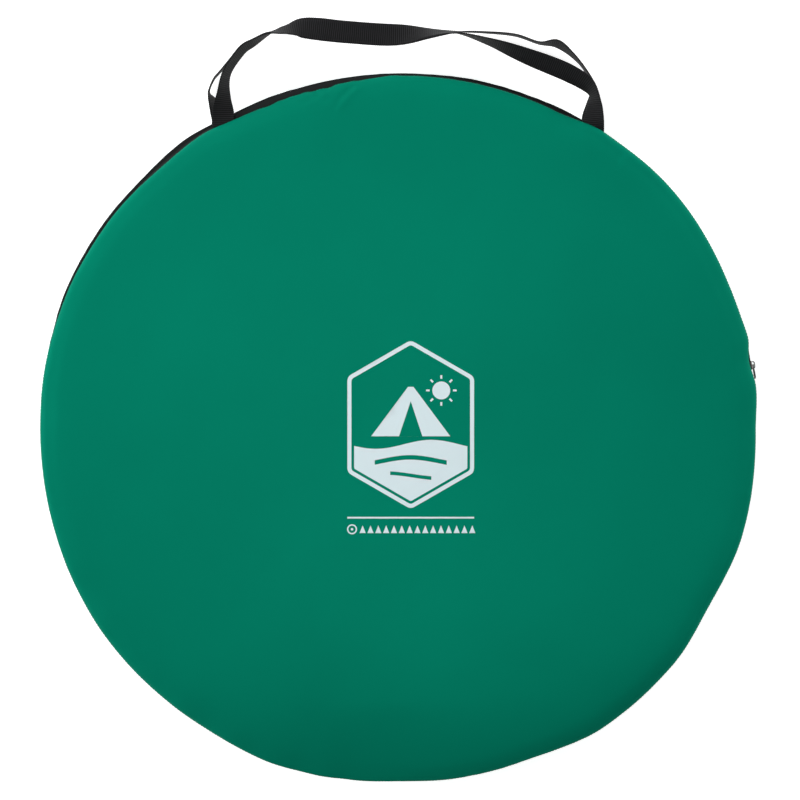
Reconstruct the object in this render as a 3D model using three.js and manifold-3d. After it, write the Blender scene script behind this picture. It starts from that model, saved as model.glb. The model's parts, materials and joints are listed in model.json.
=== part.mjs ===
// A pop-up tent packed in its flat round carry bag: millimetres, +Z up, back panel on the floor.
// The bag's disc is centred on the Z axis, its carry handles point along +Y.
import * as THREE from "three";
import { mergeVertices } from "three/addons/utils/BufferGeometryUtils.js";
import Module from "manifold-3d";

const wasm = await Module();
wasm.setup();

// Driving dimensions of the carry bag.
const RIM = 400; // radius of the two panels
const BAG_HEIGHT = 50;
const CLOTH = 1.5; // panel thickness with its seam allowances
const FRONT_SEAM_Z = 34;
const BACK_SEAM_Z = 16;
const FRONT_SHOULDER = 100; // how far in from the rim the front panel starts to round over
const BACK_SHOULDER = 70;
const ROUND_STEPS = 72; // facets round the bag
const GAP = 0.3; // clearance between pieces that touch
const FOLD_Y = 110; // the front panel folds open along this line

// The zip runs round the upper rim, its two coils parted by a narrow slit.
const CHAIN = RIM - 1; // radius of the coils' middle line
const CHAIN_Z = (FRONT_SEAM_Z + BACK_SEAM_Z) / 2;
const SLIT = 1.2;
const COIL = { wide: 2.6, tall: 2.6 };
const TAPE = 1.2;
const ZIP_END_Y = 50; // the zip stops here on both sides
const STOP_LENGTH = 5;

// Height zones of the rim wall: the zip lies on a true circle, the seams follow the cloth.
const WALL_FRONT = [CHAIN_Z + 6, FRONT_SEAM_Z];
const WALL_BACK = [CHAIN_Z - 6, BACK_SEAM_Z];
const BINDING = { inner: RIM + 0.4, thick: 1.2, low: 12, high: 17.2 }; // round the back seam

// Where the cloth bulges or pulls in round the rim: [degrees anticlockwise from +X, mm].
const FRONT_RIM = [
  [0, -1.5], [7, 1], [11, -3], [15, 3], [42, 6.5], [55, 3.5], [64, -3], [90, -3.5], [110, -8],
  [121, -2], [140, -1], [170, 4.5], [210, 3], [240, -1], [270, -6.5], [290, -4.5], [305, 3.5],
  [320, 1.5], [331, -2], [342, 1.3],
];
const BACK_RIM = [
  [0, -2], [15, 3], [42, 7], [55, 4], [64, 0], [90, -2], [108, -1.5], [127, 4.8], [140, 3.4],
  [155, 5.8], [172, 4.5], [210, 3], [240, -1], [270, -6.5], [290, -4.5], [305, 3.5], [320, 1.5],
  [331, -2], [342, 1],
];

// The folded tent inside: two sprung rod loops, each coiled in three turns, round the cloth.
const ROD = 6;
const ROD_TURNS = 3;
const ROD_STEPS = 28; // facets in one turn
const TURN_OFFSET = 8; // the turns circle each other at this radius
const ROD_LOOPS = { a: { radius: 374, start: 1.35 }, b: { radius: 349, start: 1.75 } };
const FERRULE = { outer: 9.2, bore: 7, half: 30 };
const PACKS = [
  { name: "groundsheet_pack", radius: 324, low: 3, high: 10, color: 0x2b2f33 },
  { name: "inner_tent_pack", radius: 318, low: 10.4, high: 19.4, color: 0xb9bdb8 },
  { name: "door_mesh_pack", radius: 304, low: 19.8, high: 23.8, color: 0x1d1f20 },
  { name: "flysheet_pack", radius: 324, low: 24.2, high: 36.2, color: 0x0b7a62 },
];
const PACK_STEPS = 40;

// The strap round the coiled rods, with its side-release buckle.
const STRAP = { inner: 331, outer: 389, low: 10.5, high: 38.3, thick: 1.2, width: 25, at: 62 };
const BUCKLE = { inner: 326, joint: 346, outer: 366, low: 38.6, high: 44.1, width: 32 };

// The peg bag and its pegs, on top of the folded flysheet.
const PEG_BAG = { x: -108, y: 180, length: 212, width: 58, low: 36.6, high: 46.6, wall: 1 };
const PEG = { count: 8, wire: 3.6, pitch: 6.6, length: 180, hook: 7 };

// Carry handles in webbing: [x, y, z, tilt], tilt in degrees from flat, about the strap's run.
const WEBBING = { width: 25, thick: 1.8, stepsPerPoint: 5 };
const FRONT_HANDLE = [
  [-198.2, 349.5, 36.7, 0], [-197.8, 367, 38, 36], [-197.1, 387, 39.5, 48], [-191, 403, 39.5, 57],
  [-177.9, 417.2, 39.5, 64], [-162.4, 430.6, 39.5, 74], [-146.2, 441.4, 39.5, 88],
  [-126, 449, 39, 120], [-103.7, 450.4, 38, 163], [-61, 445.3, 37, 180], [-10.7, 442, 37, 168],
  [31.8, 443.8, 38.5, 113], [66.5, 443.3, 39.5, 90], [92, 437, 39.5, 75], [126, 425.4, 39.5, 57],
  [163, 410.4, 39.5, 39], [193, 395.5, 39.5, 41], [211, 380.5, 39, 45], [217, 360.5, 38, 32],
  [218.6, 342.4, 36.7, 0],
];
const BACK_HANDLE = [
  [-201.8, 359, 14, 0], [-204.5, 367, 13.8, 35], [-207.8, 376, 13.6, 70], [-208.5, 388, 13.4, 88],
  [-199, 406.5, 13.3, 90], [-188.7, 417.3, 13.3, 90], [-172, 432.8, 13.3, 90],
  [-158, 440.5, 13.3, 90], [-146, 445, 13.3, 92], [-126, 449.5, 13.3, 130],
  [-103, 450.5, 13.3, 170], [-61, 445.5, 13.3, 180], [-10.7, 442.3, 13.3, 170],
  [31.8, 444, 13.3, 120], [66.5, 445.5, 13.3, 92], [96, 445.8, 13.3, 88], [126, 442.6, 13.3, 88],
  [148, 437.5, 13.3, 82], [174, 431, 13.3, 62], [189, 420, 13.3, 60], [201.5, 403, 13.3, 55],
  [210, 385, 13.5, 45], [217.8, 363, 13.8, 25], [219.3, 350.5, 14, 0],
];

// The slider is parked at the closed end of the zip, its pull laid along the tape.
const SLIDER = { at: 10.4, length: 10, height: 11, plate: 1.2, room: 0.9, web: 0.6, lip: 1 };
const BAIL = { span: 8, thick: 1, rise: 2.8, width: 2.4 };
const PULL = { length: 16, width: 7, neck: 5.6, bar: 1.4, thick: 1.2, window: 3.4, reach: 5.6 };

const DEGREE = Math.PI / 180;

const MATERIALS = {
  green: { color: 0x0a7c62, roughness: 0.62, metalness: 0 },
  black: { color: 0x1e1f21, roughness: 0.85, metalness: 0 },
  webbing: { color: 0x212123, roughness: 0.8, metalness: 0 },
  coil: { color: 0x161718, roughness: 0.45, metalness: 0 },
  steel: { color: 0xb7babd, roughness: 0.3, metalness: 1 },
  rod: { color: 0x3a3d3f, roughness: 0.4, metalness: 0 },
  plastic: { color: 0x17181a, roughness: 0.4, metalness: 0 },
};

const tent = new THREE.Group();

function addPiece(name, geometry, look) {
  const mesh = new THREE.Mesh(geometry, new THREE.MeshStandardMaterial(look));
  mesh.name = name;
  tent.add(mesh);
}

// One closed body from any geometry: shared corners merged, empty faces dropped, faces out.
function closed(geometry) {
  geometry.deleteAttribute("normal");
  geometry.deleteAttribute("uv");
  const merged = mergeVertices(geometry, 1e-3);
  const corners = merged.getAttribute("position");
  const source = merged.getIndex().array;
  const faces = [];
  let volume = 0;
  const [a, b, c] = [new THREE.Vector3(), new THREE.Vector3(), new THREE.Vector3()];
  for (let i = 0; i < source.length; i += 3) {
    const [p, q, r] = [source[i], source[i + 1], source[i + 2]];
    if (p === q || q === r || r === p) continue;
    faces.push(p, q, r);
    a.fromBufferAttribute(corners, p);
    b.fromBufferAttribute(corners, q);
    c.fromBufferAttribute(corners, r);
    volume += a.dot(b.cross(c));
  }
  if (volume < 0) faces.reverse();
  const result = new THREE.BufferGeometry();
  result.setAttribute("position", corners);
  result.setIndex(faces);
  return result;
}

function solidOf(geometry) {
  const body = closed(geometry);
  return new wasm.Manifold(new wasm.Mesh({
    numProp: 3,
    vertProperties: new Float32Array(body.getAttribute("position").array),
    triVerts: new Uint32Array(body.getIndex().array),
  }));
}

function geometryOf(solid) {
  const mesh = solid.getMesh();
  const geometry = new THREE.BufferGeometry();
  geometry.setAttribute("position", new THREE.BufferAttribute(mesh.vertProperties, 3));
  geometry.setIndex(new THREE.BufferAttribute(mesh.triVerts, 1));
  return geometry;
}

// A solid turned about Z from a closed profile of [radius, height] points.
function turned(profile, steps = ROUND_STEPS) {
  const points = profile.map(([radius, height]) => new THREE.Vector2(radius, height));
  return new THREE.LatheGeometry(points, steps).rotateX(Math.PI / 2);
}

function box(low, high) {
  const size = high.map((value, i) => value - low[i]);
  const middle = high.map((value, i) => (value + low[i]) / 2);
  return new THREE.BoxGeometry(...size).translate(...middle);
}

const WIDE = 600; // beyond the bag on every side

function keepAbove(geometry, y) {
  const region = box([-WIDE, y, -WIDE], [WIDE, WIDE, WIDE]);
  return geometryOf(solidOf(geometry).intersect(solidOf(region)));
}

function keepBelow(geometry, y) {
  const region = box([-WIDE, -WIDE, -WIDE], [WIDE, y, WIDE]);
  return geometryOf(solidOf(geometry).intersect(solidOf(region)));
}

// side is 1 for +X and -1 for -X
function keepBetween(geometry, lowY, highY, side) {
  const low = [side > 0 ? 0 : -WIDE, lowY, -WIDE];
  const high = [side > 0 ? WIDE : 0, highY, WIDE];
  return geometryOf(solidOf(geometry).intersect(solidOf(box(low, high))));
}

function smooth(from, to, value) {
  const share = THREE.MathUtils.clamp((value - from) / (to - from), 0, 1);
  return share * share * (3 - 2 * share);
}

function bulgeAt(rim, degrees) {
  const last = rim.length - 1;
  let index = last;
  for (let i = 0; i < last; i += 1) {
    if (degrees >= rim[i][0] && degrees < rim[i + 1][0]) index = i;
  }
  const [start, low] = rim[index];
  const [end, high] = index === last ? [rim[0][0] + 360, rim[0][1]] : rim[index + 1];
  return low + (high - low) * smooth(start, end, degrees);
}

// Moves the rim in and out to the cloth's real outline; the zip's own zone stays a circle.
function shapeRim(geometry) {
  const places = geometry.getAttribute("position");
  for (let i = 0; i < places.count; i += 1) {
    const [x, y, z] = [places.getX(i), places.getY(i), places.getZ(i)];
    const radius = Math.hypot(x, y);
    if (radius < 1) continue;
    const degrees = (Math.atan2(y, x) / DEGREE + 360) % 360;
    const front = bulgeAt(FRONT_RIM, degrees);
    const back = bulgeAt(BACK_RIM, degrees);
    const zip = (front + back) / 2 * (1 - smooth(-40, ZIP_END_Y, y));
    const frontShare = smooth(...WALL_FRONT, z);
    const backShare = smooth(...WALL_BACK, z);
    const bulge = front * frontShare + back * backShare + zip * (1 - frontShare - backShare);
    const scale = (radius + bulge * smooth(RIM * 0.6, RIM, radius)) / radius;
    places.setXY(i, x * scale, y * scale);
  }
  return geometry;
}

function rimPiece(profile) {
  return shapeRim(turned(profile));
}

// A panel: flat in the middle, rounding over a shoulder to its seam; outward is 1 facing up.
function panelProfile(top, seam, shoulder, outward) {
  const rise = Math.abs(top - seam);
  const curve = [0, 20, 42, 64, 90];
  const outer = curve.map((a) => [
    RIM - shoulder + shoulder * Math.sin(a * DEGREE),
    seam + outward * rise * Math.cos(a * DEGREE),
  ]);
  const inner = curve.map((a) => [
    RIM - shoulder + (shoulder - CLOTH) * Math.sin(a * DEGREE),
    seam + outward * (rise - CLOTH) * Math.cos(a * DEGREE),
  ]);
  const middle = (RIM - shoulder) / 2;
  return [
    [0, top], [middle, top], ...outer,
    ...inner.reverse(), [middle, top - outward * CLOTH], [0, top - outward * CLOTH],
  ];
}

function addPanels() {
  const front = () => rimPiece(panelProfile(BAG_HEIGHT, FRONT_SEAM_Z, FRONT_SHOULDER, 1));
  const back = rimPiece(panelProfile(0, BACK_SEAM_Z, BACK_SHOULDER, -1));
  addPiece("front_panel_flap", keepAbove(front(), FOLD_Y + GAP / 2), MATERIALS.green);
  addPiece("front_panel_lower", keepBelow(front(), FOLD_Y - GAP / 2), MATERIALS.green);
  addPiece("back_panel", closed(back), MATERIALS.green);
}

// A band of the rim wall between two heights, with a row wherever the wall changes direction.
function wallProfile(low, high, thick) {
  const rows = [...WALL_BACK, ...WALL_FRONT].filter((z) => z > low && z < high);
  const heights = [low, ...rows.sort((p, q) => p - q), high];
  const outside = heights.map((z) => [CHAIN + thick / 2, z]);
  const inside = heights.map((z) => [CHAIN - thick / 2, z]);
  return [...outside, ...inside.reverse(), outside[0]];
}

function addRimWall() {
  const low = BACK_SEAM_Z + GAP;
  const high = FRONT_SEAM_Z - GAP;
  const gusset = rimPiece(wallProfile(low, high, TAPE));
  addPiece("lower_gusset", keepBelow(gusset, ZIP_END_Y - GAP), MATERIALS.black);
  const heights = [BINDING.low, BACK_SEAM_Z, low, BINDING.high];
  const outside = heights.map((z) => [BINDING.inner + BINDING.thick, z]);
  const inside = heights.map((z) => [BINDING.inner, z]);
  const binding = rimPiece([...outside, ...inside.reverse(), outside[0]]);
  addPiece("back_seam_binding", closed(binding), MATERIALS.black);
}

function coilProfile(side) {
  const near = CHAIN_Z + side * SLIT / 2;
  const far = near + side * COIL.tall;
  const [low, high] = [Math.min(near, far), Math.max(near, far)];
  const [inner, outer] = [CHAIN - COIL.wide / 2, CHAIN + COIL.wide / 2];
  const cut = 0.7;
  return [
    [outer, low + cut], [outer, high - cut], [outer - cut, high], [inner + cut, high],
    [inner, high - cut], [inner, low + cut], [inner + cut, low], [outer - cut, low],
    [outer, low + cut],
  ];
}

function addZip() {
  const coilFar = SLIT / 2 + COIL.tall;
  const tapeFront = [CHAIN_Z + coilFar + GAP, FRONT_SEAM_Z - GAP];
  const tapeBack = [BACK_SEAM_Z + GAP, CHAIN_Z - coilFar - GAP];
  const flapY = FOLD_Y + GAP / 2;
  const coilY = ZIP_END_Y + STOP_LENGTH;
  const frontTape = () => rimPiece(wallProfile(...tapeFront, TAPE));
  const frontCoil = () => turned(coilProfile(1));
  const backTape = rimPiece(wallProfile(...tapeBack, TAPE));
  const backCoil = turned(coilProfile(-1));
  addPiece("zip_tape_front", keepAbove(frontTape(), flapY), MATERIALS.black);
  addPiece("zip_coil_front", keepAbove(frontCoil(), flapY), MATERIALS.coil);
  addPiece("zip_tape_back", keepAbove(backTape, ZIP_END_Y), MATERIALS.black);
  addPiece("zip_coil_back", keepAbove(backCoil, coilY), MATERIALS.coil);
  for (const [name, side] of [["right", 1], ["left", -1]]) {
    const rootY = FOLD_Y - GAP / 2;
    const tapeEnd = keepBetween(frontTape(), ZIP_END_Y, rootY, side);
    const coilEnd = keepBetween(frontCoil(), coilY, rootY, side);
    addPiece(`zip_tape_end_${name}`, tapeEnd, MATERIALS.black);
    addPiece(`zip_coil_end_${name}`, coilEnd, MATERIALS.coil);
    addPiece(`zip_stop_${name}`, zipStop(side), MATERIALS.steel);
  }
}

// A pressed metal stop across both coils at the end of the chain.
function zipStop(side) {
  const outer = CHAIN + COIL.wide / 2 + 0.2;
  const inner = CHAIN - COIL.wide / 2 - 0.2;
  const low = CHAIN_Z - SLIT / 2 - COIL.tall;
  const high = CHAIN_Z + SLIT / 2 + COIL.tall;
  const ring = turned([[outer, low], [outer, high], [inner, high], [inner, low], [outer, low]]);
  return keepBetween(ring, ZIP_END_Y + GAP, ZIP_END_Y + STOP_LENGTH - GAP, side);
}

// Places a piece drawn as (outwards, up, clockwise) on the chain at an angle.
function ontoChain(geometry, degrees) {
  const outwards = new THREE.Vector3(Math.cos(degrees * DEGREE), Math.sin(degrees * DEGREE), 0);
  const up = new THREE.Vector3(0, 0, 1);
  const clockwise = new THREE.Vector3().crossVectors(outwards, up);
  const place = new THREE.Matrix4().makeBasis(outwards, up, clockwise);
  place.setPosition(outwards.x * CHAIN, outwards.y * CHAIN, CHAIN_Z);
  return geometry.applyMatrix4(place);
}

function outline(points) {
  const shape = new THREE.Shape();
  points.forEach(([x, y], i) => (i === 0 ? shape.moveTo(x, y) : shape.lineTo(x, y)));
  shape.closePath();
  return shape;
}

// Extrudes an outline by a thickness, centred on its own plane.
function slab(shape, thickness, curveSegments = 6) {
  const options = { depth: thickness, bevelEnabled: false, curveSegments };
  return new THREE.ExtrudeGeometry(shape, options).translate(0, 0, -thickness / 2);
}

const PLATE_IN = COIL.wide / 2 + SLIDER.room; // from the chain's middle to each plate
const PLATE_OUT = PLATE_IN + SLIDER.plate;
const PIVOT_OUT = PLATE_OUT + BAIL.rise / 2;

// Two plates with turned-in lips, joined by the web that runs in the slit between the coils.
function addSlider() {
  const half = SLIDER.height / 2;
  const lipIn = PLATE_IN - SLIDER.lip;
  const web = SLIDER.web / 2;
  const quarter = [
    [web, PLATE_IN], [half - 1, PLATE_IN], [half - 1, lipIn], [half, lipIn],
    [half, PLATE_OUT - 0.4], [half - 0.5, PLATE_OUT],
  ];
  const upperOut = quarter.map(([z, r]) => [r, z]);
  const lowerOut = quarter.map(([z, r]) => [r, -z]).reverse();
  const lowerIn = quarter.map(([z, r]) => [-r, -z]);
  const upperIn = quarter.map(([z, r]) => [-r, z]).reverse();
  const section = outline([...upperOut, ...lowerOut, ...lowerIn, ...upperIn]);
  const body = slab(section, SLIDER.length);

  const reach = BAIL.span / 2;
  const root = PLATE_OUT - 0.2;
  const under = PLATE_OUT + BAIL.rise;
  const bail = outline([
    [root, -reach], [under, -reach], [under + BAIL.thick, -reach + 1.4],
    [under + BAIL.thick, reach - 1.4], [under, reach], [root, reach], [root, reach - BAIL.thick],
    [under - 0.5, reach - BAIL.thick], [under, reach - 1.6], [under, -reach + 1.6],
    [under - 0.5, -reach + BAIL.thick], [root, -reach + BAIL.thick],
  ]);
  const arch = slab(bail, BAIL.width).rotateX(Math.PI / 2);
  const whole = solidOf(body).add(solidOf(arch));
  addPiece("zip_slider", ontoChain(geometryOf(whole), SLIDER.at), MATERIALS.steel);
}

// The pull's cross bar passes under the bail; its tab lies clockwise along the tape.
function addPull() {
  const half = PULL.width / 2;
  const neck = PULL.neck / 2;
  const tab = new THREE.Shape();
  tab.moveTo(-PULL.bar / 2, -neck);
  tab.lineTo(PULL.reach, -neck);
  tab.lineTo(PULL.reach + 2, -half);
  tab.lineTo(PULL.length - half, -half);
  tab.absarc(PULL.length - half, 0, half, -Math.PI / 2, Math.PI / 2);
  tab.lineTo(PULL.reach + 2, half);
  tab.lineTo(PULL.reach, neck);
  tab.lineTo(-PULL.bar / 2, neck);
  tab.closePath();
  const window = PULL.window / 2;
  tab.holes.push(outline([
    [PULL.bar / 2, -window], [PULL.bar / 2, window], [PULL.reach, window], [PULL.reach, -window],
  ]));
  const eye = new THREE.Path();
  eye.absarc(PULL.length - half, 0, 1.3, 0, 2 * Math.PI, true);
  tab.holes.push(eye);
  const flat = slab(tab, PULL.thick, 5);
  const standing = flat.rotateY(-Math.PI / 2).translate(PIVOT_OUT, 0, 0);
  addPiece("zip_pull", closed(ontoChain(standing, SLIDER.at)), MATERIALS.steel);
}

// Webbing along a route: its width leans by the tilt given at each point.
function webbing(route) {
  const curve = new THREE.CatmullRomCurve3(route.map(([x, y, z]) => new THREE.Vector3(x, y, z)));
  const [side, face] = [WEBBING.width / 2, WEBBING.thick / 2];
  const corners = [[-side, -face], [0, -face], [side, -face], [side, face], [0, face], [-side, face]];
  const steps = (route.length - 1) * WEBBING.stepsPerPoint;
  const options = { depth: 1, steps, bevelEnabled: false };
  const strap = new THREE.ExtrudeGeometry(outline(corners), options);
  const places = strap.getAttribute("position");
  for (let i = 0; i < places.count; i += 1) {
    const [across, deep, along] = [places.getX(i), places.getY(i), places.getZ(i)];
    const position = along * (route.length - 1);
    const before = Math.min(Math.floor(position), route.length - 2);
    const share = smooth(0, 1, position - before);
    const tilt = THREE.MathUtils.lerp(route[before][3], route[before + 1][3], share) * DEGREE;
    const run = curve.getTangent(along);
    const beside = new THREE.Vector3(0, 0, 1).cross(run).normalize();
    const up = new THREE.Vector3().crossVectors(run, beside);
    const wide = beside.clone().multiplyScalar(Math.cos(tilt)).addScaledVector(up, Math.sin(tilt));
    const through = new THREE.Vector3().crossVectors(run, wide);
    const place = curve.getPoint(along);
    place.addScaledVector(wide, across).addScaledVector(through, deep);
    places.setXYZ(i, place.x, place.y, place.z);
  }
  return closed(strap);
}

function addHandles() {
  addPiece("front_handle", webbing(FRONT_HANDLE), MATERIALS.webbing);
  addPiece("back_handle", webbing(BACK_HANDLE), MATERIALS.webbing);
}

// A rod coiled in three turns that circle one another, from one end to the other.
class CoiledRod extends THREE.Curve {
  constructor(radius, from, to) {
    super();
    this.radius = radius;
    this.from = from;
    this.to = to;
  }

  getPoint(share, target = new THREE.Vector3()) {
    const turn = this.from + (this.to - this.from) * share;
    const ring = this.radius + TURN_OFFSET * Math.cos(turn / ROD_TURNS);
    const z = CHAIN_Z + TURN_OFFSET * Math.sin(turn / ROD_TURNS);
    return target.set(ring * Math.cos(turn), ring * Math.sin(turn), z);
  }
}

function circle(radius, sides) {
  const corners = Array.from({ length: sides }, (_, i) => {
    const angle = (2 * Math.PI * i) / sides;
    return [radius * Math.cos(angle), radius * Math.sin(angle)];
  });
  return outline(corners);
}

function alongCurve(shape, curve, steps) {
  return closed(new THREE.ExtrudeGeometry(shape, { steps, extrudePath: curve }));
}

// The rod's two ends meet inside a ferrule, which follows the rod's facets on both sides.
function ferrulePath(rod, steps) {
  const facets = rod.getSpacedPoints(steps);
  const middle = facets[0].clone().lerp(facets[steps], 0.5);
  const ahead = facets[1].clone().sub(facets[0]).setLength(FERRULE.half).add(middle);
  const behind = facets[steps - 1].clone().sub(facets[steps]).setLength(FERRULE.half).add(middle);
  const path = new THREE.CurvePath();
  path.add(new THREE.LineCurve3(behind, middle));
  path.add(new THREE.LineCurve3(middle, ahead));
  return path;
}

function addRods() {
  const whole = 2 * Math.PI * ROD_TURNS;
  const steps = ROD_TURNS * ROD_STEPS;
  const endGap = 0.001;
  for (const [name, { radius, start }] of Object.entries(ROD_LOOPS)) {
    const rod = new CoiledRod(radius, start + endGap, start + whole - endGap);
    addPiece(`rod_loop_${name}`, alongCurve(circle(ROD / 2, 6), rod, steps), MATERIALS.rod);
    const tube = circle(FERRULE.outer / 2, 8);
    tube.holes.push(circle(FERRULE.bore / 2, 8));
    const ferrule = alongCurve(tube, ferrulePath(rod, steps), 2);
    addPiece(`rod_ferrule_${name}`, ferrule, MATERIALS.steel);
  }
}

// Each folded layer of the tent is a flat round cake of cloth with a soft edge.
function addPacks() {
  const soft = 2;
  for (const { name, radius, low, high, color } of PACKS) {
    const cake = turned([
      [0, low], [radius - soft, low], [radius, low + soft], [radius, high - soft],
      [radius - soft, high], [0, high],
    ], PACK_STEPS);
    addPiece(name, closed(cake), { color, roughness: 0.8, metalness: 0 });
  }
}

// Places a piece drawn as (outwards, up, clockwise from the middle) across the coiled rods.
function acrossRods(geometry) {
  const outwards = new THREE.Vector3(Math.cos(STRAP.at * DEGREE), Math.sin(STRAP.at * DEGREE), 0);
  const up = new THREE.Vector3(0, 0, 1);
  const clockwise = new THREE.Vector3().crossVectors(outwards, up);
  return geometry.applyMatrix4(new THREE.Matrix4().makeBasis(outwards, up, clockwise));
}

function roundedBox(inner, outer, low, high, corner) {
  const shape = new THREE.Shape();
  shape.absarc(outer - corner, low + corner, corner, -Math.PI / 2, 0);
  shape.absarc(outer - corner, high - corner, corner, 0, Math.PI / 2);
  shape.absarc(inner + corner, high - corner, corner, Math.PI / 2, Math.PI);
  shape.absarc(inner + corner, low + corner, corner, Math.PI, 1.5 * Math.PI);
  return shape;
}

function addStrap() {
  const { inner, outer, low, high, thick, width } = STRAP;
  const band = roundedBox(inner, outer, low, high, 5);
  band.holes.push(roundedBox(inner + thick, outer - thick, low + thick, high - thick, 5 - thick));
  addPiece("retaining_strap", closed(acrossRods(slab(band, width, 3))), MATERIALS.webbing);
  const socket = roundedBox(BUCKLE.joint + GAP, BUCKLE.outer, BUCKLE.low, BUCKLE.high, 2);
  const plug = roundedBox(BUCKLE.inner, BUCKLE.joint, BUCKLE.low, BUCKLE.high, 2);
  addPiece("buckle_socket", closed(acrossRods(slab(socket, BUCKLE.width, 3))), MATERIALS.plastic);
  addPiece("buckle_plug", closed(acrossRods(slab(plug, BUCKLE.width - 4, 3))), MATERIALS.plastic);
}

// The pouch is open at its +X end, where the pegs go in.
function addPegBag() {
  const { x, y, length, width, low, high, wall } = PEG_BAG;
  const outer = box([x, y - width / 2, low], [x + length, y + width / 2, high]);
  const inner = box(
    [x + wall, y - width / 2 + wall, low + wall],
    [x + length + wall, y + width / 2 - wall, high - wall],
  );
  const pouch = solidOf(outer).subtract(solidOf(inner));
  addPiece("peg_bag", geometryOf(pouch), { color: 0x16181a, roughness: 0.85, metalness: 0 });
}

// A wire peg: a straight shank with its end bent into a hook.
function addPegs() {
  const middle = (PEG_BAG.low + PEG_BAG.high) / 2;
  const first = PEG_BAG.y - (PEG.pitch * (PEG.count - 1)) / 2;
  const start = PEG_BAG.x + 6;
  for (let i = 0; i < PEG.count; i += 1) {
    const y = first + i * PEG.pitch;
    const lift = PEG.hook * 0.3;
    const route = new THREE.CurvePath();
    const points = [
      [start, y, middle], [start + PEG.length - PEG.hook, y, middle],
      [start + PEG.length, y, middle + lift * 0.2], [start + PEG.length + 3, y, middle + lift],
    ].map((place) => new THREE.Vector3(...place));
    route.add(new THREE.LineCurve3(points[0], points[1]));
    route.add(new THREE.QuadraticBezierCurve3(points[1], points[2], points[3]));
    addPiece(`peg_${i + 1}`, alongCurve(circle(PEG.wire / 2, 6), route, 6), MATERIALS.steel);
  }
}

addPanels();
addRimWall();
addZip();
addSlider();
addPull();
addHandles();
addRods();
addPacks();
addStrap();
addPegBag();
addPegs();

export default tent;
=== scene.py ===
"""A pop-up tent packed in its flat round carry bag, dressed for rendering round its CAD frame.

Lengths are in millimetres until new_piece turns them into metres. Texture coordinates are metres of cloth.
"""

import json
import math

import bmesh
import bpy
import numpy as np
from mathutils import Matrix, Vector
from mathutils.geometry import delaunay_2d_cdt


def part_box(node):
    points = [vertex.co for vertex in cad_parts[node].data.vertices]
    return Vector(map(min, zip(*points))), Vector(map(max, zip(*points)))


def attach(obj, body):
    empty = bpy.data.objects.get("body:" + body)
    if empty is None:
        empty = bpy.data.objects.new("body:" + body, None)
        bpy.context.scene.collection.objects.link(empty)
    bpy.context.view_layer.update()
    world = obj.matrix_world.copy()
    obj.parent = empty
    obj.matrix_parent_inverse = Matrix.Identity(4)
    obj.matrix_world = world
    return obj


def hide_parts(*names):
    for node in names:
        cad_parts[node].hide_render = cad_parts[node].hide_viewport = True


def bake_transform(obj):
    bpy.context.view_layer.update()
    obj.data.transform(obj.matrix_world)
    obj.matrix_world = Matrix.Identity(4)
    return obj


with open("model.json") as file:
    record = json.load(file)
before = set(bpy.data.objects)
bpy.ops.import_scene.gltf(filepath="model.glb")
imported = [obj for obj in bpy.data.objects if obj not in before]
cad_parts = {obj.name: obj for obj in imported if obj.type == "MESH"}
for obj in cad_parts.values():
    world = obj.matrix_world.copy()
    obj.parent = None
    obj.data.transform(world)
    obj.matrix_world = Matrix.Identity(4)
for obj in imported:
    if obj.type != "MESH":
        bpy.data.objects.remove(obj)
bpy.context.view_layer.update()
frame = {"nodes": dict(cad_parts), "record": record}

MM = 0.001
DEGREE = math.pi / 180
FULL_TURN = 2 * math.pi


def node_box(node):
    """The lowest and highest corner of a CAD node in millimetres."""
    low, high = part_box(node)
    return np.array(low) / MM, np.array(high) / MM


# ---------------------------------------------------------------- driving dimensions
RIM = 400
BAG_TOP = node_box("front_panel_lower")[1][2]
FRONT_SEAM = 34
BACK_SEAM = 16
FRONT_FLAT = RIM - 70  # the visible front panel stays flat out to here
BACK_FLAT = RIM - 55
CHAIN = RIM - 1  # the zip chain's radius
CHAIN_Z = (FRONT_SEAM + BACK_SEAM) / 2
ZIP_END_Y = 50
WALL_FRONT = (CHAIN_Z + 6, FRONT_SEAM)
WALL_BACK = (CHAIN_Z - 6, BACK_SEAM)

# How far the cloth bulges out of the round rim: (degrees anticlockwise from +X, millimetres).
LOWER_RIM = [  # front and back alike
    (210, 2.7), (240, -1.2), (248, 0.2), (256, -1.9), (262, -4), (270, -6.3), (279, -4.3),
    (290, -3.8), (305, 4), (319, 3.5), (331, -1.5),
]
FRONT_RIM = [
    (0, -1.5), (7, 1.7), (11, -1.6), (15, 3.3), (19, 2.3), (42, 6.5), (55, 4.1), (64, -3), (90, -3.6),
    (97, -6.4), (103, -8.8), (108, -7.9), (112, -9), (117, -7.2), (124, -2.3), (131, -3.3), (145, 0.4),
    (158, 2.3), (170, 2.9), (185, 1.9), (195, 2.2), *LOWER_RIM, (342, 1.3),
]
BACK_RIM = [
    (0, -2), (15, 3), (42, 6.5), (55, 4.8), (62, 4.3), (70, 2.8), (77, 2.5), (87, 0.8), (104, 0.2),
    (112, 1.6), (118, 1.7), (127, 5.9), (136, 4.4), (146, 6), (158, 6.9), (165, 5.2), (173, 3.5),
    (185, 2), *LOWER_RIM, (342, 1),
]

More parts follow.
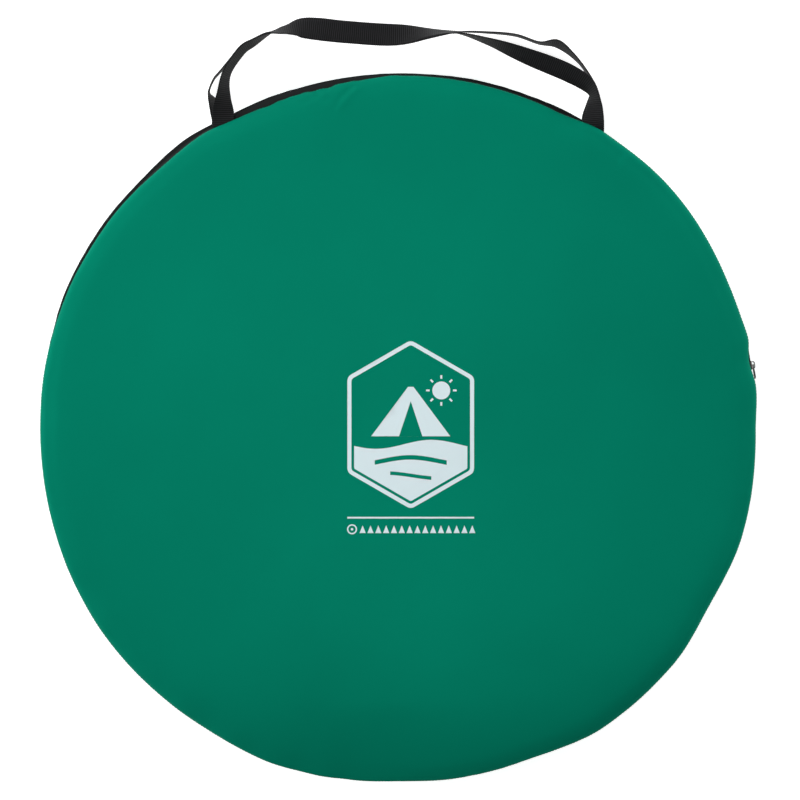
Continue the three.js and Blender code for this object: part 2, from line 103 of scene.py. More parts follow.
# The two carry handles' routes: (x, y, z, lean of the webbing in degrees), sewn in at both ends.
HANDLE_WIDTH = 25
FRONT_HANDLE = [
    (-197.5, 336, 33.4, 0), (-197.4, 349, 36.4, 6), (-197, 373, 38.5, 54), (-193.2, 399, 39.5, 74),
    (-177, 423.6, 39.5, 76), (-163.8, 432.8, 39.5, 80), (-147.2, 442, 39.5, 95),
    (-135, 445.9, 39.2, 114), (-123.3, 448, 38.7, 128), (-108.5, 450, 38, 158),
    (-88, 448.4, 37.3, 178), (-61, 445.3, 37, 184), (-10.7, 442, 37, 176), (31.8, 443.8, 38.5, 121),
    (66.5, 443.3, 39.5, 98), (100.7, 433.7, 39.5, 80), (122.9, 425.4, 39.5, 65),
    (144.9, 416.7, 39.5, 53), (166.9, 408.3, 39.5, 46), (189.1, 398.8, 39.5, 46),
    (209, 387, 39.2, 56), (217.3, 375.4, 39, 72), (218.4, 363.3, 38.2, 55), (218, 352.3, 37, 38),
    (217, 343, 36, 20), (216.5, 330, 33.4, 5),
]
BACK_HANDLE = [
    (-199.4, 340, 15.6, 0), (-200.5, 350, 14.2, 20), (-206.5, 361, 13.8, 54),
    (-212.4, 375, 13.6, 76), (-215, 383, 13.4, 94), (-209.8, 395.8, 13.3, 95),
    (-202, 405, 13.3, 95), (-187.2, 422.8, 13.3, 95), (-174.2, 434.6, 13.3, 95),
    (-160.1, 443.1, 13.3, 95), (-148.2, 448.4, 13.3, 98), (-134, 451.5, 13.3, 111), (-121, 453, 13.3, 128),
    (-104, 453, 13.3, 166), (-61, 449, 13.3, 186), (-10.7, 446, 13.3, 178), (31.8, 447.5, 13.3, 128),
    (66.5, 449.3, 13.3, 101), (98, 448.6, 13.3, 96), (130.8, 445.5, 13.3, 94),
    (157.5, 436.8, 13.3, 93), (177.6, 436, 13.3, 79), (195.4, 423, 13.3, 88), (210, 405.8, 13.3, 92),
    (219, 386, 13.4, 80), (219.3, 368, 13.6, 50), (218, 351, 14.2, 15), (217.5, 336, 15.6, 0),
]


# ---------------------------------------------------------------- building meshes
def smooth(start, end, value):
    share = np.clip((value - start) / (end - start), 0, 1)
    return share * share * (3 - 2 * share)


def hump(value, middle, width):
    """1 in the middle, fading to 0 on both sides."""
    return np.exp(-((value - middle) / width) ** 2)


def unit(vectors):
    return vectors / np.linalg.norm(vectors, axis=1, keepdims=True)


def length_along(places):
    """The distance travelled from the first place to each."""
    return np.concatenate([[0], np.cumsum(np.linalg.norm(np.diff(places, axis=0), axis=1))])


def new_piece(name, points, faces, material, uv=None, sharp=40, weld=False):
    """A closed mesh with its faces turned outwards; uv gives each point its place on the flat cloth."""
    mesh = bpy.data.meshes.new(name)
    mesh.from_pydata((np.asarray(points, float) * MM).tolist(), [], [tuple(face) for face in faces])
    if uv is not None:
        corners = np.empty(len(mesh.loops), int)
        mesh.loops.foreach_get("vertex_index", corners)
        mesh.uv_layers.new(name="cloth").data.foreach_set("uv", (np.asarray(uv) * MM)[corners].ravel())
    form = bmesh.new()
    form.from_mesh(mesh)
    if weld:
        bmesh.ops.remove_doubles(form, verts=form.verts, dist=1e-6)
        bmesh.ops.dissolve_degenerate(form, edges=form.edges, dist=1e-7)
    bmesh.ops.recalc_face_normals(form, faces=form.faces)
    form.to_mesh(mesh)
    form.free()
    mesh.shade_smooth()
    mesh.set_sharp_from_angle(angle=sharp * DEGREE)
    mesh.materials.append(material)
    piece = bpy.data.objects.new(name, mesh)
    bpy.context.collection.objects.link(piece)
    return piece


def grid_faces(rows, columns, wrap=False, first=0):
    """Quads over a grid of points numbered row by row; wrap joins the last column to the first."""
    across = columns if wrap else columns - 1
    row, column = np.meshgrid(np.arange(rows - 1), np.arange(across), indexing="ij")
    after = (column + 1) % columns
    corners = [row * columns + column, row * columns + after,
               (row + 1) * columns + after, (row + 1) * columns + column]
    return (np.stack(corners, -1).reshape(-1, 4) + first).tolist()


def shell(name, outer, inner, material, uv, wrap=False):
    """Closed thin cloth between two grids of points of the same size."""
    rows, columns, _ = outer.shape
    count = rows * columns
    faces = grid_faces(rows, columns, wrap) + grid_faces(rows, columns, wrap, count)
    index = np.arange(count).reshape(rows, columns)
    edges = [index[0], index[-1]]
    if not wrap:
        edges += [index[:, 0], index[:, -1]]
    for number, edge in enumerate(edges):
        ends = np.append(edge, edge[0]) if wrap and number < 2 else edge
        faces += [(a, b, b + count, a + count) for a, b in zip(ends[:-1].tolist(), ends[1:].tolist())]
    points = np.concatenate([outer.reshape(-1, 3), inner.reshape(-1, 3)])
    return new_piece(name, points, faces, material, np.concatenate([uv.reshape(-1, 2)] * 2))


def curve_through(route, step):
    """Places every step or so along a smooth curve through the route's points, whatever they hold."""
    points = np.array(route, float)
    padded = np.vstack([2 * points[0] - points[1], points, 2 * points[-1] - points[-2]])
    places = []
    for before, start, end, after in zip(padded[:-3], padded[1:-2], padded[2:-1], padded[3:]):
        count = max(2, round(np.linalg.norm((end - start)[:3]) / step))
        share = np.arange(count)[:, None] / count
        places.append(0.5 * (2 * start + (end - before) * share
                             + (2 * before - 5 * start + 4 * end - after) * share ** 2
                             + (3 * start - before - 3 * end + after) * share ** 3))
    return np.vstack(places + [points[-1:]])


def runs_of(places, closed=False):
    """The direction of travel at each place of a path."""
    if closed:
        run = np.roll(places, -1, 0) - np.roll(places, 1, 0)
    else:
        run = np.gradient(places, axis=0)
    return unit(run)


def across_and_up(run):
    beside = unit(np.cross([0, 0, 1], run))
    return beside, np.cross(run, beside)


def loft(name, places, wide, deep, section, material, closed=False, stretch=None):
    """Sweeps a closed section of (across, deep) points along places.

    stretch scales the section at each place, by one number or by one for across and one for deep.
    """
    section = np.asarray(section, float)
    scale = np.ones((len(places), 2)) if stretch is None else stretch.reshape(len(places), -1)
    across, depth = section[:, 0] * scale[:, :1], section[:, 1] * scale[:, -1:]
    points = places[:, None] + wide[:, None] * across[..., None] + deep[:, None] * depth[..., None]
    rows, columns, _ = points.shape
    faces = grid_faces(rows, columns, True)
    if closed:
        last = (rows - 1) * columns
        faces += [(last + i, last + (i + 1) % columns, (i + 1) % columns, i) for i in range(columns)]
    else:
        faces += [tuple(range(columns)), tuple(range((rows - 1) * columns, rows * columns))]
    uv = np.stack(np.meshgrid(length_along(places), length_along(section), indexing="ij"), -1)
    return new_piece(name, points.reshape(-1, 3), faces, material, uv.reshape(-1, 2), sharp=50)


def tube(name, places, radius, material, closed=False, sides=14, stretch=None):
    wide, up = across_and_up(runs_of(places, closed))
    angle = np.arange(sides) / sides * FULL_TURN
    section = np.stack([radius * np.cos(angle), radius * np.sin(angle)], -1)
    return loft(name, places, wide, up, section, material, closed, stretch)


def webbing_section(width, thick):
    """Webbing's cross section: a flat strap with rounded selvedges."""
    across = np.sin(np.linspace(-math.pi / 2, math.pi / 2, 19))
    depth = thick / 2 * ((1 - abs(across) ** 12) ** 0.5 * 0.8 + 0.2)
    top = np.stack([across * width / 2, depth], -1)
    return np.vstack([top, (top * [1, -1])[::-1]])


RIB_PITCH = 2.3  # the weft ribs across webbing


def ribs(places):
    """How much wider and thicker webbing is at each of its ribs than between them."""
    wave = np.cos(length_along(places) / RIB_PITCH * FULL_TURN)
    return np.stack([1 + 0.008 * wave, 1 + 0.15 * wave], -1)


BEAD_ENDS = [(-1, 0.35), (-0.8, 0.8), (-0.3, 1), (0.3, 1), (0.8, 0.8), (1, 0.35)]


def beads(name, centres, along, up, size, material):
    """Many small rounded beads in one mesh, such as stitches or teeth: size is (length, width, height)."""
    sides = 6
    angle = np.arange(sides) / sides * FULL_TURN
    length, width, height = (value / 2 for value in size)
    form = np.array([(share * length, swell * width * math.cos(a), swell * height * math.sin(a))
                     for share, swell in BEAD_ENDS for a in angle])
    along = unit(along)
    side = unit(np.cross(up, along))
    basis = np.stack([along, side, np.cross(along, side)], 1)
    points = np.einsum("kc,ncx->nkx", form, basis) + centres[:, None]
    rows = len(BEAD_ENDS)
    caps = [tuple(range(sides)), tuple(range((rows - 1) * sides, rows * sides))]
    pattern = [tuple(face) for face in grid_faces(rows, sides, True)] + caps
    count = len(form)
    faces = [tuple(i + n * count for i in face) for n in range(len(centres)) for face in pattern]
    return new_piece(name, points.reshape(-1, 3), faces, material)


def soften_edges(piece, width, segments, from_angle=30):
    bevel = piece.modifiers.new("softened_edges", "BEVEL")
    bevel.width = width * MM
    bevel.segments = segments
    bevel.limit_method = "ANGLE"
    bevel.angle_limit = from_angle * DEGREE


# ---------------------------------------------------------------- joining pieces to bodies
def stand_for(nodes):
    if nodes:
        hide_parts(*nodes)


def fold_with_flap(piece, *nodes, slot):
    """Bakes the piece's place into its mesh and hides the CAD nodes it stands for."""
    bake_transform(piece)
    stand_for(nodes)


def ride_bag(piece, *nodes, slot):
    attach(piece, "bag")
    stand_for(nodes)


# ---------------------------------------------------------------- materials
def new_material(name, colour, roughness, specular=0.5, metallic=0.0):
    material = bpy.data.materials.new(name)
    material.use_nodes = True
    tree = material.node_tree
    surface = tree.nodes["Principled BSDF"]
    surface.inputs["Base Color"].default_value = (*colour, 1)
    surface.inputs["Roughness"].default_value = roughness
    surface.inputs["Specular IOR Level"].default_value = specular
    surface.inputs["Metallic"].default_value = metallic
    return material, tree, surface


def add_noise(tree, scale):
    noise = tree.nodes.new("ShaderNodeTexNoise")
    noise.inputs["Scale"].default_value = scale
    place = tree.nodes.new("ShaderNodeTexCoord")
    tree.links.new(place.outputs["Object"], noise.inputs["Vector"])
    return noise


def mix_colours(tree, surface, first, second, pattern):
    """The surface goes from its first colour to its second where the pattern goes from 0 to 1."""
    mix = tree.nodes.new("ShaderNodeMix")
    mix.data_type = "RGBA"
    mix.inputs[6].default_value = (*first, 1)
    mix.inputs[7].default_value = (*second, 1)
    tree.links.new(pattern.outputs["Fac"], mix.inputs["Factor"])
    tree.links.new(mix.outputs[2], surface.inputs["Base Color"])


def add_bump(tree, surface, height, depth, strength):
    bump = tree.nodes.new("ShaderNodeBump")
    bump.inputs["Strength"].default_value = strength
    bump.inputs["Distance"].default_value = depth
    tree.links.new(height, bump.inputs["Height"])
    tree.links.new(bump.outputs["Normal"], surface.inputs["Normal"])


def vary_colour(tree, surface, colour, amount, scale):
    """Soft patches a little lighter and darker than the colour."""
    noise = add_noise(tree, scale)
    noise.inputs["Detail"].default_value = 3
    darker = [c * (1 - amount) for c in colour]
    lighter = [min(1, c * (1 + amount)) for c in colour]
    mix_colours(tree, surface, darker, lighter, noise)


WAVE_PERIOD = FULL_TURN / 20  # one band of a wave texture at scale 1


def add_bands(tree, axis, spacing):
    """Bands across the flat cloth, spaced in metres."""
    cloth = tree.nodes.new("ShaderNodeUVMap")
    cloth.uv_map = "cloth"
    wave = tree.nodes.new("ShaderNodeTexWave")
    wave.bands_direction = axis
    wave.inputs["Scale"].default_value = WAVE_PERIOD / spacing
    tree.links.new(cloth.outputs["UV"], wave.inputs["Vector"])
    return wave


def weave_bump(tree, surface, threads, depth, strength):
    """Threads of two directions across each other, spaced by threads = (along, across) in metres."""
    cross = tree.nodes.new("ShaderNodeMath")
    cross.operation = "ADD"
    for socket, (axis, spacing) in enumerate(zip("XY", threads)):
        tree.links.new(add_bands(tree, axis, spacing).outputs["Fac"], cross.inputs[socket])
    add_bump(tree, surface, cross.outputs["Value"], depth, strength)


def cloth_material(name, colour, threads=(0.0006, 0.0006), roughness=0.7, specular=0.15, vary=0.05,
                   depth=0.00006, strength=0.3, sheen=0.0, patches=7, painted_groove_shade=None):
    material, tree, surface = new_material(name, colour, roughness, specular)
    if painted_groove_shade:  # painted shade: a darker colour banded between webbing's ribs, which lie across the strap
        mix_colours(tree, surface, colour, painted_groove_shade, add_bands(tree, "X", RIB_PITCH * MM))
    else:
        vary_colour(tree, surface, colour, vary, patches)
    weave_bump(tree, surface, threads, depth, strength)
    surface.inputs["Sheen Weight"].default_value = sheen
    surface.inputs["Sheen Roughness"].default_value = 0.4
    surface.inputs["Sheen Tint"].default_value = (*colour, 1)
    return material


def plain_material(name, colour, roughness, specular=0.5, metallic=0.0, grain=900, depth=0.00004,
                   vary=0.08):
    material, tree, surface = new_material(name, colour, roughness, specular, metallic)
    vary_colour(tree, surface, colour, vary, 60)
    add_bump(tree, surface, add_noise(tree, grain).outputs["Fac"], depth, strength=0.25)
    return material


GREEN = (0.0004, 0.192, 0.118)
green = cloth_material("green_coated_polyester", GREEN, roughness=0.6, specular=0.01, vary=0.14,
                       strength=0.2, sheen=0.05, patches=3.5)
fly_green = cloth_material("green_flysheet_polyester", (0.001, 0.15, 0.092), roughness=0.5,
                           specular=0.07, vary=0.12, sheen=0.1)
black_cloth = cloth_material("black_oxford_polyester", (0.011, 0.012, 0.0125), (0.0009, 0.0009),
                             depth=0.0001, strength=0.5, vary=0.2, specular=0.1)
tape_cloth = cloth_material("black_zip_tape", (0.0105, 0.012, 0.0125), (0.0007, 0.0011),
                            depth=0.0001, strength=0.5, vary=0.15, specular=0.1)
# the webbing's darker groove colour is painted shade between its ribs
strap_cloth = cloth_material("black_webbing", (0.0215, 0.0215, 0.0235), (0.0011, 0.0013), 0.65, 0.1,
                             depth=0.0002, strength=0.5, painted_groove_shade=(0.003, 0.003, 0.0035))
grey_cloth = cloth_material("grey_inner_cloth", (0.40, 0.42, 0.40), vary=0.06)
ground_cloth = cloth_material("dark_groundsheet", (0.03, 0.035, 0.04), (0.0012, 0.0012), 0.45, 0.4,
                              depth=0.0001)
mesh_cloth = cloth_material("black_insect_mesh", (0.012, 0.012, 0.012), (0.0013, 0.0013),
                            depth=0.0003, strength=1.0)
green_thread = cloth_material("green_thread", (0.0006, 0.16, 0.098), (0.0004, 0.0004))
black_thread = cloth_material("black_thread", (0.02, 0.02, 0.021), (0.0004, 0.0004))
ink = plain_material("pale_print", (0.64, 0.755, 0.786), 0.6, 0.2, grain=2500, depth=0.00002, vary=0.02)
coil_plastic = plain_material("black_zip_coil", (0.012, 0.012, 0.013), 0.38)
buckle_plastic = plain_material("black_acetal", (0.013, 0.013, 0.014), 0.42)
fibreglass = plain_material("grey_fibreglass", (0.05, 0.05, 0.055), 0.35, grain=400)
nickel = plain_material("nickel_plate", (0.33, 0.33, 0.32), 0.27, metallic=1.0, vary=0.05)
zinc = plain_material("galvanised_wire", (0.5, 0.51, 0.52), 0.4, metallic=1.0, grain=300, vary=0.12)


# ---------------------------------------------------------------- the bag's rim
def bulge_at(table, degrees):
    angles = np.array([angle for angle, _ in table] + [table[0][0] + 360])
    values = np.array([value for _, value in table] + [table[0][1]])
    index = np.clip(np.searchsorted(angles, degrees, side="right") - 1, 0, len(table) - 1)
    share = smooth(angles[index], angles[index + 1], degrees)
    return values[index] + (values[index + 1] - values[index]) * share


def shape_rim(points):
    """Moves points in or out to the cloth's outline; the zip's own zone stays a true circle."""
    x, y, z = np.moveaxis(points, -1, 0)
    radius = np.maximum(np.hypot(x, y), 1)
    degrees = np.degrees(np.arctan2(y, x)) % 360
    front, back = bulge_at(FRONT_RIM, degrees), bulge_at(BACK_RIM, degrees)
    turn = np.radians(degrees)
    front = front + 0.45 * near_angle(turn, 103, 14) * rim_ripple(turn, 77, 50, 150)
    gusset = (front + back) / 2 * (1 - smooth(-40, ZIP_END_Y, y))
    front_share, back_share = smooth(*WALL_FRONT, z), smooth(*WALL_BACK, z)
    bulge = front * front_share + back * back_share + gusset * (1 - front_share - back_share)
    scale = (radius + bulge * smooth(RIM * 0.6, RIM, radius)) / radius
    return np.stack([x * scale, y * scale, z], -1)


def on_rim(radius, z, angle):
    return shape_rim(np.stack([radius * np.cos(angle), radius * np.sin(angle), z + 0 * angle], -1))


# ---------------------------------------------------------------- cloth panels
PANEL_CELLS = 216  # cells across a panel
FLAT_SHARE = 0.74  # of those cells, the share on the flat
PANEL_CLOTH = 0.6
TOPSTITCH_INSET = 4.5
STITCH_PITCH = 3.6


def waves(x, y, seed, count, shortest, longest):
    """Seeded soft undulation, about 1 high."""
    random = np.random.default_rng(seed)
    total = 0
    for _ in range(count):
        length, way, phase = random.uniform((shortest, 0, 0), (longest, FULL_TURN, FULL_TURN))
        total = total + np.sin(FULL_TURN / length * (x * math.cos(way) + y * math.sin(way)) + phase)
    return total / math.sqrt(count)


def rim_ripple(angle, seed, fewest, most, count=14):
    """Seeded ripples round the rim, about 1 high, that come and go in patches."""
    random = np.random.default_rng(seed)
    total = 0
    for _ in range(count):
        turns = random.integers(fewest, most)
        patch = 1 + 0.9 * np.sin(random.integers(2, 9) * angle + random.uniform(0, FULL_TURN))
        total = total + patch * np.sin(turns * angle + random.uniform(0, FULL_TURN))
    return total / math.sqrt(count)


def near_angle(angle, degrees, spread):
    """1 at an angle of the rim, fading to 0 over spread degrees on both sides."""
    away = (np.degrees(angle) - degrees + 180) % 360 - 180
    return hump(away, 0, spread)


# Where the seam gathers the cloth, and where a groove follows it: degrees, spread and strength.
GATHERED_AT = [(101, 8, 1), (57, 4, 0.6), (121, 4, 0.5)]
GROOVED_AT = [(38, 30, 0.8), (140, 30, 0.3), (176, 11, 0.6), (226, 12, 0.5)]
SEAM_CREASES = [  # from, to and depth
    ((-47, 393), (-74, 365), 1.3), ((-84, 388), (-107, 371), 0.8), ((247, 306), (240, 286), 0.7),
]


def seam_creases(x, y):
    """Short creases that run in from the seam by the handles: a valley with a ridge along one side."""
    height = 0
    for (x1, y1), (x2, y2), depth in SEAM_CREASES:
        length = math.hypot(x2 - x1, y2 - y1)
        along = ((x - x1) * (x2 - x1) + (y - y1) * (y2 - y1)) / length ** 2
        beside = ((y - y1) * (x2 - x1) - (x - x1) * (y2 - y1)) / length
        beside = beside + 3 * np.sin(along * 3)
        ends = smooth(-0.1, 0.3, along) * smooth(1.2, 0.6, along)
        height = height + depth * ends * (0.8 * hump(beside, 5, 4) - hump(beside, 0, 3.5))
    return height


class Panel:
    """A round panel of cloth: flat, then over a shoulder to its seam; facing is 1 for up, -1 for down."""

    def __init__(self, top, seam, flat, facing, seed, swell):
        self.top, self.seam, self.flat, self.facing, self.seed = top, seam, flat, facing, seed
        self.swell = swell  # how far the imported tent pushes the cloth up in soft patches

    def flat_edge(self, angle):
        """Where the flat ends: the cloth slopes down sooner along the bottom."""
        return self.flat - 22 * near_angle(angle, 268, 44)

    def run(self, angle):
        """The length of cloth over the shoulder, from the flat to the seam."""
        return RIM - self.flat_edge(angle) + 5

    def crown(self, angle):
        """How square the shoulder is: drawn tight at the sides, a long slope along the bottom."""
        return 3.6 - 2.25 * near_angle(angle, 268, 42)

    def relief(self, x, y, angle, bend):
        """How far the cloth stands above its plain form: undulation, seam puckers and a rim groove."""
        from_seam = (1 - bend / (math.pi / 2)) * self.run(angle)
        broad = self.swell * (waves(x, y, self.seed, 7, 170, 400) + 1.2)
        fine = 0.07 * waves(x, y, self.seed + 1, 9, 45, 90)
        height = smooth(0, 40, from_seam) * (broad + fine)
        height = height + 3 * self.swell * near_angle(angle, 268, 50) * hump(np.hypot(x, y), 275, 75)
        height = height + 0.25 * rim_ripple(angle, self.seed + 2, 90, 200) * np.exp(-from_seam / 14)
        height = height + 0.4 * rim_ripple(angle, self.seed + 3, 18, 48) * hump(from_seam, 0, 40)
        slanted = angle + from_seam * 0.0016
        puckers = rim_ripple(slanted, self.seed + 4, 50, 130, 9) * smooth(0, 9, from_seam)
        gathered = sum(share * near_angle(angle, place, spread) for place, spread, share in GATHERED_AT)
        height = height + gathered * 0.75 * puckers * hump(from_seam, 0, 34)
        if self.facing > 0:
            height = height + seam_creases(x, y)
        groove = 0.3 + sum(share * near_angle(angle, place, spread) for place, spread, share in GROOVED_AT)
        return height - 0.8 * groove * hump(from_seam, 30, 7)

    def surface(self, out, angle, inset=0.0):
        """Points on the panel: out runs from 0 in the middle to 1 at the seam."""
        bend = np.clip((out - FLAT_SHARE) / (1 - FLAT_SHARE), 0, 1) * math.pi / 2
        across = np.sin(bend) ** 0.9
        flat = self.flat_edge(angle)
        on_shoulder = flat + (RIM - flat - inset) * across
        radius = np.where(out < FLAT_SHARE, flat * out / FLAT_SHARE, on_shoulder)
        x, y = radius * np.cos(angle), radius * np.sin(angle)
        square = self.crown(angle)
        rise = (abs(self.top - self.seam) - inset) * (1 - across ** square) ** (1 / square)
        z = self.seam + self.facing * (rise + self.relief(x, y, angle, bend))
        shaped = shape_rim(np.stack([x, y, self.seam + 0 * z], -1))
        return np.stack([shaped[..., 0], shaped[..., 1], z], -1)

    def cloth(self, name):
        out, angle = disc_places(PANEL_CELLS)
        outer = self.surface(out, angle)
        return shell(name, outer, self.surface(out, angle, PANEL_CLOTH), green, outer[..., :2])

    def stitches(self, name):
        """A row of stitches round the panel, a little way in from its seam."""
        count = round(FULL_TURN * RIM / STITCH_PITCH)
        angle = np.arange(count) / count * FULL_TURN
        out = 1 - (1 - FLAT_SHARE) * TOPSTITCH_INSET / self.run(angle)
        centres = self.surface(out, angle)
        along = self.surface(out, angle + 0.002) - centres
        up = unit(np.cross(along, self.surface(out - 0.004, angle) - centres))
        proud = 0.1 * np.sign(up[:, 2:]) * self.facing
        return beads(name, centres + up * proud, along, up, (2.7, 0.5, 0.35), green_thread)


def disc_places(cells):
    """A square grid bent into a disc, as (share of the way out, angle)."""
    line = np.linspace(-1, 1, cells + 1)
    u, v = np.meshgrid(line, line)
    wide = abs(u) >= abs(v)
    main = np.where(wide, u, v)
    safe = np.where(main == 0, 1, main)
    turn = np.where(wide, math.pi / 4 * v / safe, math.pi / 2 - math.pi / 4 * u / safe)
    return abs(main), turn + np.where(main < 0, math.pi, 0)


front = Panel(BAG_TOP, FRONT_SEAM, FRONT_FLAT, 1, seed=21, swell=1.0)
back = Panel(0, BACK_SEAM, BACK_FLAT, -1, seed=47, swell=0.25)


def add_panel(name, panel, dress, *nodes):
    cloth = panel.cloth(f"{name}_cloth")
    dress(cloth, *nodes, slot="green_polyester")
    dress(panel.stitches(f"{name}_topstitch"), slot="green_polyester")


def add_panels():
    add_panel("front_panel", front, fold_with_flap, "front_panel_flap", "front_panel_lower")
    add_panel("back_panel", back, ride_bag, "back_panel")


# ---------------------------------------------------------------- the print
PRINT_MIDDLE = (12.4, 6)
PRINT_HALF = (70.5, 94)
PRINT_LIFT = 0.08  # the ink's face above the cloth
PRINT_GRID = 7


def front_height(x, y):
    """The front panel's outer face over places on its flat middle."""
    radius, angle = np.hypot(x, y), np.arctan2(y, x)
    return front.surface(radius * FLAT_SHARE / front.flat_edge(angle), angle)[..., 2]


def inside(loops, x, y):
    """Even-odd test of places against closed outlines."""
    hits = np.zeros(x.shape, bool)
    for loop in loops:
        for (ax, ay), (bx, by) in zip(loop, np.roll(loop, -1, 0)):
            if ay != by:
                crosses = (ay > y) != (by > y)
                hits ^= crosses & (x < (bx - ax) * (y - ay) / (by - ay) + ax)
    return hits


def printed(name, loops):
    """Ink on the front panel, filling closed outlines and following the cloth."""
    loops = [np.asarray(loop, float) for loop in loops]
    outline = np.vstack(loops)
    low, high = outline.min(0), outline.max(0)
    xs, ys = (np.arange(low[k] + 1, high[k], PRINT_GRID) for k in (0, 1))
    fill = np.stack(np.meshgrid(xs, ys), -1).reshape(-1, 2)
    fill = fill[inside(loops, fill[:, 0], fill[:, 1])]
    edges, first = [], 0
    for loop in loops:
        count = len(loop)
        edges += [(first + i, first + (i + 1) % count) for i in range(count)]
        first += count
    places = [Vector(place) for place in np.vstack([outline, fill])]
    found, _, faces, *_ = delaunay_2d_cdt(places, edges, [], 0, 1e-4)
    flat = np.array([tuple(place) for place in found])
    faces = np.array([tuple(face) for face in faces])
    middle = flat[faces].mean(1)
    faces = faces[inside(loops, middle[:, 0], middle[:, 1])]
    used, faces = np.unique(faces, return_inverse=True)
    flat, faces = flat[used], faces.reshape(-1, 3)
    z = front_height(flat[:, 0], flat[:, 1])
    count = len(flat)
    points = np.vstack([np.column_stack([flat, z + PRINT_LIFT]), np.column_stack([flat, z - PRINT_LIFT])])
    pairs = np.sort(np.concatenate([faces[:, [0, 1]], faces[:, [1, 2]], faces[:, [2, 0]]]), 1)
    pairs, times = np.unique(pairs, axis=0, return_counts=True)
    sides = [(a, b, b + count, a + count) for a, b in pairs[times == 1].tolist()]
    all_faces = faces.tolist() + (faces + count).tolist() + sides
    piece = new_piece(name, points, all_faces, ink, points[:, :2], sharp=30)
    fold_with_flap(piece, slot="green_polyester")


def arc(cx, cy, radius, start=0, end=360, count=24):
    """Places on an arc, its end left out when it is a whole circle."""
    whole = abs(end - start) >= 360
    angle = np.linspace(start, end, count, endpoint=not whole) * DEGREE
    return np.stack([cx + radius * np.cos(angle), cy + radius * np.sin(angle)], -1)


def hexagon(inset):
    """The badge's outline, standing on a corner, its corners rounded."""
    cx, cy = PRINT_MIDDLE
    half_x, half_y = PRINT_HALF[0] - inset, PRINT_HALF[1] - inset * 1.16
    shoulder = half_y - half_x * 0.577
    corners = [(half_x, -shoulder), (half_x, shoulder), (0, half_y),
               (-half_x, shoulder), (-half_x, -shoulder), (0, -half_y)]
    round_over = max(5 - inset / 2, 1.5)
    loop = []
    for before, corner, after in zip(np.roll(corners, 1, 0), np.array(corners), np.roll(corners, -1, 0)):
        enter = corner + (before - corner) / np.linalg.norm(before - corner) * round_over
        leave = corner + (after - corner) / np.linalg.norm(after - corner) * round_over
        for share in (0, 0.25, 0.5, 0.75, 1):
            loop.append((1 - share) ** 2 * enter + 2 * share * (1 - share) * corner + share ** 2 * leave)
    return np.array(loop) + [cx, cy]


def ground_line(x, level, swing, phase):
    return level + swing * np.sin((x - PRINT_MIDDLE[0]) / 62 * math.pi + phase)


def add_print():
    cx, cy = PRINT_MIDDLE
    printed("print_badge_frame", [hexagon(0), hexagon(4.5)])
    # the ground: a broad field that fills the foot of the badge, with two bands left open
    inner = hexagon(7.5)
    foot = np.roll(inner, 10, 0)[:15][::-1]  # the three lower corners from right to left
    xs = np.linspace(inner[:, 0].min(), inner[:, 0].max(), 45)
    top = np.stack([xs, ground_line(xs, cy - 22, 5, 0.4)], -1)
    ground = np.vstack([top, foot])

    def open_band(trim, upper, lower, swing, phase):
        x = xs[trim:-trim]
        above, below = (ground_line(x, cy - level, swing, phase) for level in (upper, lower))
        return np.vstack([np.stack([x, above], -1), np.stack([x, below], -1)[::-1]])

    bands = [open_band(8, 38, 43, 4, 1.6), open_band(14, 55, 59, 3, 3.0)]
    printed("print_badge_ground", [ground, *bands])
    # a ridge tent with its door open
    base = cy - 13
    tent = [(cx - 44, base), (cx - 3, cy + 42), (cx + 3, cy + 42), (cx + 44, base)]
    door = [(cx - 13, base + 0.01), (cx, cy + 26), (cx + 13, base + 0.01)]
    printed("print_badge_tent", [tent, door])
    printed("print_badge_sun", [arc(cx + 34, cy + 38, 10)])
    for number, turn in enumerate(range(0, 360, 45)):
        ray = arc(cx + 34, cy + 38, 13, turn - 5, turn + 5, 3)
        tip = arc(cx + 34, cy + 38, 17, turn + 3.4, turn - 3.4, 3)
        printed(f"print_badge_ray_{number}", [np.vstack([ray, tip])])
    # the rule under the badge, a ring and a row of small triangles
    left, right = cx - PRINT_HALF[0], cx + PRINT_HALF[0]
    rule = cy - 103.6
    under, over = rule - 0.95, rule + 0.95
    printed("print_rule", [[(left, under), (right, under), (right, over), (left, over)]])
    row = rule - 12.9
    printed("print_ring", [arc(left + 5.2, row, 5.6), arc(left + 5.2, row, 4.1)])
    printed("print_ring_dot", [arc(left + 5.2, row, 1.4, count=12)])
    for number, x in enumerate(np.linspace(left + 17, right - 2, 15)):
        printed(f"print_tick_{number}", [[(x - 3.4, row - 4.2), (x + 3.4, row - 4.2), (x, row + 4.4)]])


# ---------------------------------------------------------------- zip, gusset and binding
STRIP_STEP = 3.5


def wall_strip(name, profile, start, end, thick, material, wrap=False, ripple=0.0):
    """A strip of cloth round the rim wall: rows of (radius, height) over an arc in degrees."""
    radius, z = np.array(profile, float).T[..., None]
    count = round((end - start) * DEGREE * RIM / STRIP_STEP)
    angle = np.linspace(start, end, count, endpoint=not wrap) * DEGREE
    middle = np.sin(np.linspace(0, math.pi, len(z)))[:, None]
    radius = radius + ripple * rim_ripple(angle, 5, 60, 160) * middle
    outer, inner = on_rim(radius, z, angle[None]), on_rim(radius - thick, z, angle[None])
    uv = np.stack(np.broadcast_arrays(angle[None] * RIM, z), -1)
    return shell(name, outer, inner, material, uv, wrap)


ZIP_START = math.degrees(math.asin(ZIP_END_Y / CHAIN))
ZIP_FINISH = 180 - ZIP_START
TEETH_PITCH = 2.0
TOOTH = (3.1, 1.15, 2.2)


